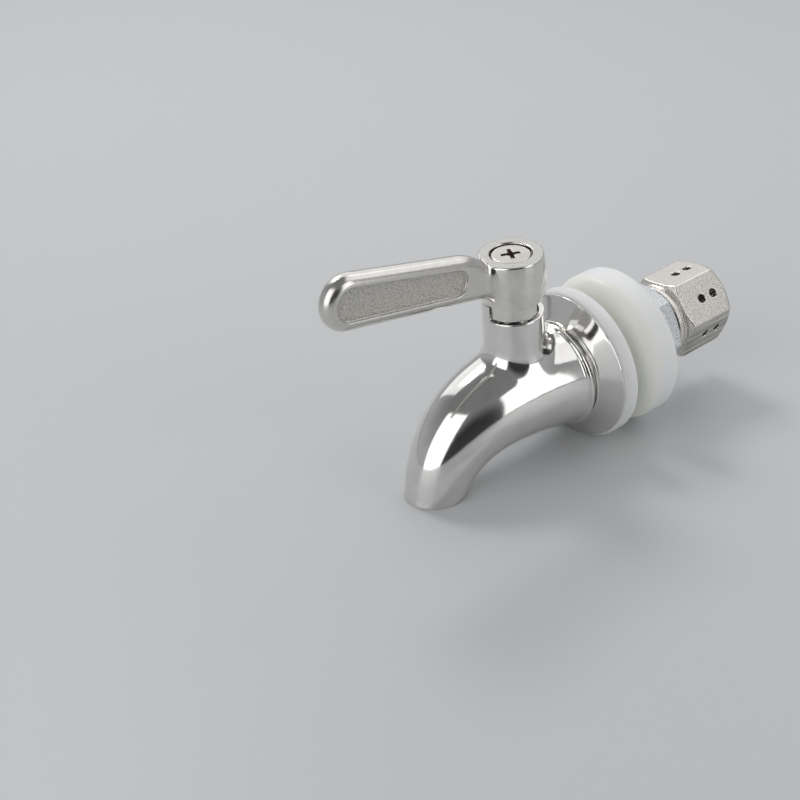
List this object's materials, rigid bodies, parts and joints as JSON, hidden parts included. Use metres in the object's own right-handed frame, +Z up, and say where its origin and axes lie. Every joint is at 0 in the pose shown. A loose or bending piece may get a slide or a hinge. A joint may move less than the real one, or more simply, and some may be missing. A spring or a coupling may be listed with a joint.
{
  "type": "dispenser faucet",
  "caption": "Quarter-turn dispenser faucet with a curved spout, paddle lever, conical flange, silicone washers, lock nut and perforated filter cap, clamped through a container's wall.",
  "frame": {"origin": "on the shank's axis at the wall plane, which is the rear face of the front washer", "axes": "+Y along the shank into the container, -Y the way the spout points, +Z up along the stem, +X to the right when looking along +Y"},
  "size_m": [0.0352, 0.107, 0.0644],
  "materials": {
    "polished_steel": "mirror-polished stainless steel",
    "lever_steel": "satin-polished stainless steel casting",
    "screw_steel": "satin stainless steel",
    "nut_steel": "fine-grained stainless steel",
    "cap_steel": "satin stainless steel",
    "machined_steel": "turned stainless steel",
    "silicone": "milky translucent silicone",
    "nitrile": "smooth nitrile rubber",
    "seat_plastic": "smooth fluoropolymer"
  },
  "bodies": {
    "faucet": {"spout_body": "polished_steel", "flange": "polished_steel", "shank": "machined_steel", "shank_o_ring": "nitrile", "front_washer": "silicone", "ball_seat_front": "seat_plastic", "ball_seat_rear": "seat_plastic", "seat_retainer": "machined_steel", "stem_thrust_washer": "seat_plastic", "gland_nut": "machined_steel"},
    "lever": {"lever": "lever_steel", "stem": "machined_steel", "valve_ball": "machined_steel", "stem_o_ring_lower": "nitrile", "stem_o_ring_upper": "nitrile", "lever_screw": "screw_steel", "spring_washer": "machined_steel"},
    "rear_washer": {"rear_washer": "silicone"},
    "lock_nut": {"lock_nut": "nut_steel"},
    "filter_cap": {"filter_cap": "cap_steel"}
  },
  "joints": [
    {"name": "lever_turn", "type": "hinge", "parent": "faucet", "child": "lever", "pos_m": [0, -0.0201, 0], "axis": [0, 0, 1], "range_deg": [-8, 82]},
    {"name": "washer_clamp", "type": "slide", "parent": "faucet", "child": "rear_washer", "axis": [0, -1, 0], "range_m": [0, 0.0035]},
    {"name": "nut_turn", "type": "hinge", "parent": "rear_washer", "child": "lock_nut", "pos_m": [0, 0.0122, 0], "axis": [0, -1, 0], "range_deg": [0, 720]},
    {"name": "cap_unscrew", "type": "slide", "parent": "faucet", "child": "filter_cap", "axis": [0, 1, 0], "range_m": [0, 0.02]}
  ],
  "couplings": [
    {"joint": "nut_turn", "follows": "washer_clamp", "rad_per_m": 3590.4}
  ]
}
